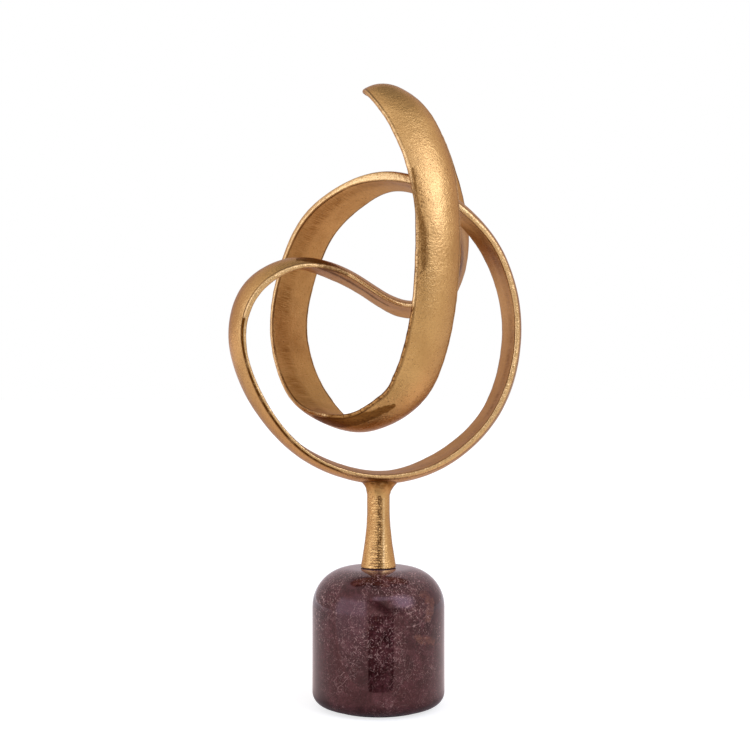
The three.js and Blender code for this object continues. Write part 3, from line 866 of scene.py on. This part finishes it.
class KNOT_OT_ribbon(Operator):
    """Joins the four castings into one smooth ribbon, then parts them again at their welds"""

    bl_idname = "knot.ribbon"
    bl_label = "Ribbon"

    def execute(self, context):
        metal = context.scene.knot_metal
        copies = [copy_of(node) for node in CASTINGS]
        for piece in copies:
            piece.data.materials.append(bpy.data.materials.new(piece.name))
        choose(*copies)
        bpy.ops.object.join()
        ribbon = context.active_object
        close_welds(ribbon, metal.weld_gap)
        marks = unroll(ribbon)
        apply_modifier(ribbon, 'SUBSURF', levels=metal.levels, render_levels=metal.levels)
        push_corners(ribbon)
        roughen(ribbon, "uneven casting", metal.wobble_length, metal.wobble)
        rims = ribbon.vertex_groups[0].name
        roughen(ribbon, "rim lumps", metal.rim_lump_length, metal.rim_lump, vertex_group=rims)
        with editing(ribbon, action='SELECT'):
            bpy.ops.mesh.separate(type='MATERIAL')
        gold = ribbon_gold(metal, *marks)
        for piece in context.selected_objects:
            piece.name = piece.data.materials[0].name
            with editing(piece, 'EDGE'):
                select_open(boundary=True, crowded=False)
                bpy.ops.mesh.fill_holes(sides=0)
            node = piece.name.removesuffix("_finished")
            finish_piece(piece, node, "knot", gold)
        return {'FINISHED'}


# Stem and weld

def stem_profile(metal):
    """Half of the stem's outline: the tapped hole, the lip at the foot, the flare and the neck."""
    low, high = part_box("stem")
    stud_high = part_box("threaded_stud")[1]
    tapped, tapped_top = stud_high.x + metal.tapped_gap, stud_high.z + metal.tapped_gap
    lip, lip_bottom = high.x - metal.lip_inset, low.z - metal.lip_depth
    steps = [step / metal.steps for step in range(metal.steps + 1)]
    spread = high.x - metal.neck
    flare = [(metal.neck + spread * (1 - step) ** metal.taper_power, low.z + metal.taper * step)
             for step in steps]
    return [
        (0, tapped_top),
        (tapped, tapped_top),
        (tapped, low.z),
        (lip, low.z),
        (lip, lip_bottom),
        (high.x, lip_bottom),
        *flare,
        (metal.neck, high.z),
        (0, high.z),
    ]


def weld_profile(metal, foot, top):
    """Half of the weld's outline: a hollow collar from the stem out to the ribbon."""
    spread = metal.weld_reach - metal.neck
    turns = [step / metal.steps * math.pi / 2 for step in range(metal.steps + 1)]
    hollow = [(metal.neck + spread * (1 - math.cos(turn)), foot + metal.weld_height * math.sin(turn))
              for turn in turns]
    root, rise = metal.neck - metal.weld_root, top + metal.weld_rise
    return [*hollow, (metal.weld_reach, rise), (root, rise), (root, foot), hollow[0]]


def bend_weld(weld, metal, foot):
    """Leans the weld's top to the right and bends it up along and across the hoop."""
    with editing(weld) as mesh:
        for corner in mesh.verts:
            rise = ((corner.co.z - foot) / metal.weld_height) ** 2
            corner.co.x += rise * metal.weld_lean
            along, across = corner.co.x ** 2 / metal.hoop_radius, corner.co.y ** 2 / metal.crown_radius
            corner.co.z += rise * (along + across) / 2


class KNOT_OT_stem(Operator):
    """Turns the stem, and the hollow collar of weld at its top"""

    bl_idname = "knot.stem"
    bl_label = "Stem and weld"

    def execute(self, context):
        metal = context.scene.knot_metal
        stem = turned("stem_finished", stem_profile(metal), metal.segments)
        roughen(stem, "uneven stem", metal.stem_wobble_length, metal.stem_wobble)
        finish_piece(stem, "stem", "knot", stem_gold(metal))
        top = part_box("stem")[1].z
        foot = top - metal.weld_height
        weld = turned("stem_weld_finished", weld_profile(metal, foot, top), metal.segments)
        bend_weld(weld, metal, foot)
        roughen(weld, "weld lumps", metal.weld_lump_length, metal.weld_lump)
        finish_piece(weld, "stem_weld", "knot", weld_gold(metal))
        return {'FINISHED'}


# Base and fasteners

class KNOT_OT_base(Operator):
    """Turns the marble base, and finishes the felt under it and the washer on it"""

    bl_idname = "knot.base"
    bl_label = "Base"

    def execute(self, context):
        stone = context.scene.knot_base
        low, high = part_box("marble_base")
        toe_middle = (high.x - stone.toe, low.z + stone.toe)
        shoulder_middle = (high.x - stone.shoulder, high.z - stone.shoulder)
        recess_top = low.z + stone.recess_depth
        profile = [
            *arc(toe_middle, stone.toe, -90, 0, stone.arc_steps),
            *arc(shoulder_middle, stone.shoulder, 0, 90, stone.arc_steps),
            (stone.bore, high.z),
            (stone.bore, recess_top),
            (stone.recess, recess_top),
            (stone.recess, low.z),
            (high.x - stone.toe, low.z),
        ]
        base = turned("marble_base_finished", profile, stone.segments)
        finish_piece(base, "marble_base", "base", brown_marble(stone))
        pad = rounded_copy("felt_pad", stone.pad_edge, segments=3)
        finish_piece(pad, "felt_pad", "base", felt())
        washer = rounded_copy("seat_washer", stone.pad_edge, segments=3)
        finish_piece(washer, "seat_washer", "base", rubber())
        return {'FINISHED'}


class KNOT_OT_fasteners(Operator):
    """Breaks the edges of the stud, washers and nut and plates them"""

    bl_idname = "knot.fasteners"
    bl_label = "Fasteners"

    def execute(self, context):
        steel = zinc_steel()
        for node in FASTENERS:
            piece = rounded_copy(node, context.scene.knot_base.steel_edge, segments=2)
            finish_piece(piece, node, "knot", steel)
        return {'FINISHED'}


# Stage

def glow_from(direction, azimuth, elevation, inner, outer):
    """A round glow in a direction given in degrees, 0 towards the camera and positive to its right."""
    turn, rise, inner, outer = map(math.radians, (azimuth, elevation, inner, outer))
    middle = (math.sin(turn) * math.cos(rise), -math.cos(turn) * math.cos(rise), math.sin(rise))
    away = maths('ARCCOSINE', measured('DOT_PRODUCT', direction, middle))
    return ramp(away, inner, outer, 1, 0)


def panel_glow(turn, width, rise, height):
    """A glow with four sides. Each way has a middle, an inner and an outer reach in degrees."""
    ways = ((turn, width), (rise, height))
    return times(*(band(angle, *map(math.radians, reach)) for angle, reach in ways))


def studio_world(setting):
    """White room with four cool lamps, dark in a slant over the camera, low on the right and overhead."""
    world = bpy.data.worlds.new("white room")
    world.use_nodes = True
    tree = world.node_tree
    direction = put('ShaderNodeTexCoord', tree=tree).outputs["Generated"]
    parts = split(direction)
    azimuth = maths('ARCTAN2', parts["X"], times(parts["Y"], -1.0))
    elevation = maths('ARCSINE', parts["Z"])
    lamps = plus(*(times(glow, level) for glow, level in (
        (glow_from(direction, 49, 29, 5, 27), setting.right_light),
        (panel_glow(azimuth, (18, 22, 36), elevation, (44, 2, 9)), setting.top_light),
        (panel_glow(azimuth, (-50, 22, 34), elevation, (13, 12, 27)), setting.left_light),
        (glow_from(direction, -42, 38, 9, 20), setting.window_light),
    )))
    behind = panel_glow(maths('ABSOLUTE', azimuth), (180, 70, 110), elevation, (0, 25, 50))
    walls = scaled(blend(behind, WHITE, setting.back_tint), setting.room)
    light = vectors('ADD', walls, scaled(setting.lamp_tint, lamps))
    slant = maths('MULTIPLY_ADD', elevation, 0.9, azimuth)
    gap = panel_glow(slant, (21, 3, 20), elevation, (19, 15, 24))
    sill = panel_glow(azimuth, (30, 15, 28), elevation, (6, 4, 12))
    overhead = glow_from(direction, 180, 76, 18, 36)
    for dark, left_over in ((gap, 0.2), (sill, 0.5), (overhead, 0.4)):
        light = scaled(light, ramp(dark, 0, 1, 1, left_over))
    camera = put('ShaderNodeLightPath', tree=tree).outputs["Is Camera Ray"]
    tree.links.new(blend(camera, light, WHITE), tree.nodes["Background"].inputs["Color"])
    bpy.context.scene.world = world


def floor_white(setting):
    """White floor, part of whose white takes no shadow. In reflections it glows as painted light: warm near
    the base, with a painted shadow round the base, and brighter in front on the left and far to the left.
    """
    material, shader, here = new_material("white_floor")
    tone = blend(noise(here, 60, 3), (0.45, 0.435, 0.415), (0.47, 0.455, 0.435))
    spot = put('ShaderNodeNewGeometry', tree=material.node_tree).outputs["Position"]
    away = measured('LENGTH', spot)
    parts = split(spot)
    # The glow seen in reflections is painted light, with a painted shadow round the base.
    on_the_left = ramp(parts["X"], -70 * MM, -25 * MM, 1, 0)
    front = times(ramp(parts["Y"], -125 * MM, -60 * MM, 1.4, 0), on_the_left)
    shaded = ramp(away, 45 * MM, 100 * MM, 0, 0.9)
    near = times(shaded, ramp(away, 200 * MM, 500 * MM, 1.0, 0.72))
    far_left = ramp(parts["X"], -1600 * MM, -700 * MM, 2.2, 1.0)
    path = put('ShaderNodeLightPath', tree=material.node_tree).outputs
    camera, reflected = path["Is Camera Ray"], most(path["Is Glossy Ray"], path["Is Transmission Ray"])
    mirrored = times(most(near, front), far_left, reflected)
    tint = blend(ramp(away, 300 * MM, 900 * MM), setting.floor_tint, setting.far_tint)
    feed(shader, Base_Color=tone, Roughness=0.9, Specular_IOR_Level=0.0,
         Emission_Color=blend(camera, tint, WHITE),
         Emission_Strength=times(most(camera, mirrored), setting.floor_glow))
    return material


def dark_card(setting):
    """Dull black card that the marble's front reflects, out of sight for everything else."""
    bpy.ops.mesh.primitive_plane_add(size=1, location=setting.card_place, rotation=LEVEL_VIEW)
    card = bpy.context.active_object
    card.name = "dark_card"
    card.scale = (setting.card_width, setting.card_height, 1)
    card.visible_camera = card.visible_diffuse = card.visible_shadow = False
    material, shader, here = new_material("dark_card")
    tone = blend(noise(here, 8, 2), (0.012, 0.010, 0.009), (0.020, 0.017, 0.015))
    feed(shader, Base_Color=tone, Roughness=0.9, Specular_IOR_Level=0.0)
    card.data.materials.append(material)


class KNOT_OT_stage(Operator):
    """Sets the floor, the light and the camera"""

    bl_idname = "knot.stage"
    bl_label = "Stage"

    def execute(self, context):
        setting = context.scene.knot_stage
        bpy.ops.object.select_all(action='DESELECT')
        middle = (0, setting.floor_size / 2 - setting.floor_front, 0)
        bpy.ops.mesh.primitive_plane_add(size=setting.floor_size, location=middle)
        floor = context.active_object
        floor.name = "floor"
        floor.data.materials.append(floor_white(setting))
        dark_card(setting)
        studio_world(setting)
        bpy.ops.object.camera_add(location=setting.eye, rotation=LEVEL_VIEW)
        context.scene.camera = context.active_object
        context.active_object.data.lens = setting.lens
        context.scene.view_settings.view_transform = 'Standard'
        return {'FINISHED'}


class KNOT_PT_panel(Panel):
    """Lists the steps in order"""

    bl_idname = "KNOT_PT_panel"
    bl_label = "Knot sculpture"
    bl_space_type = 'VIEW_3D'
    bl_region_type = 'UI'
    bl_category = "Knot"

    def draw(self, context):
        for step in STEPS:
            self.layout.operator(step.bl_idname)


GROUPS = {"knot_metal": KnotMetal, "knot_base": KnotBase, "knot_stage": KnotStage}
STEPS = (KNOT_OT_stage, KNOT_OT_ribbon, KNOT_OT_stem, KNOT_OT_base, KNOT_OT_fasteners)


def register():
    for group in (*GROUPS.values(), *STEPS, KNOT_PT_panel):
        bpy.utils.register_class(group)
    for name, group in GROUPS.items():
        setattr(bpy.types.Scene, name, PointerProperty(type=group))


def unregister():
    for name in GROUPS:
        delattr(bpy.types.Scene, name)
    for group in (KNOT_PT_panel, *reversed(STEPS), *GROUPS.values()):
        bpy.utils.unregister_class(group)


def main():
    register()
    bpy.ops.knot.stage()
    bpy.ops.knot.ribbon()
    bpy.ops.knot.stem()
    bpy.ops.knot.base()
    bpy.ops.knot.fasteners()


if __name__ == "__main__":
    main()
